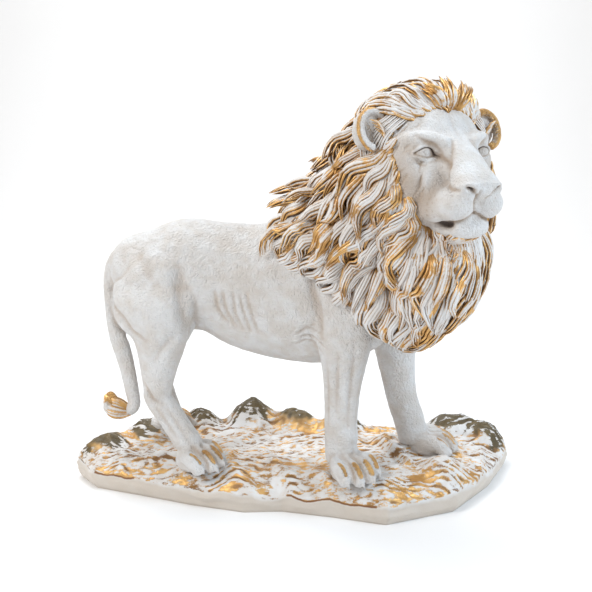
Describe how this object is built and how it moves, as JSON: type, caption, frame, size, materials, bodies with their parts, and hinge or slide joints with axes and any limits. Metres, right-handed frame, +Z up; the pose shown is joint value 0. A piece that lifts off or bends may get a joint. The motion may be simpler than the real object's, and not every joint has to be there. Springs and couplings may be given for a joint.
{
  "type": "lion figurine",
  "caption": "Cast figurine of a standing male lion with its head turned to its right, on a broken slab of rock; a decoration that stands on a shelf or table.",
  "frame": {"origin": "middle of the rock slab's flat underside, on the surface that it stands on", "axes": "+X the way the lion's body faces, +Y to the lion's left, +Z up"},
  "size_m": [0.3093, 0.1742, 0.2703],
  "materials": {
    "painted_resin": "matt white paint with gold leaf brushed over the mane, the claws and the rock"
  },
  "bodies": {
    "root": {"lion_figurine": "painted_resin"}
  },
  "joints": []
}
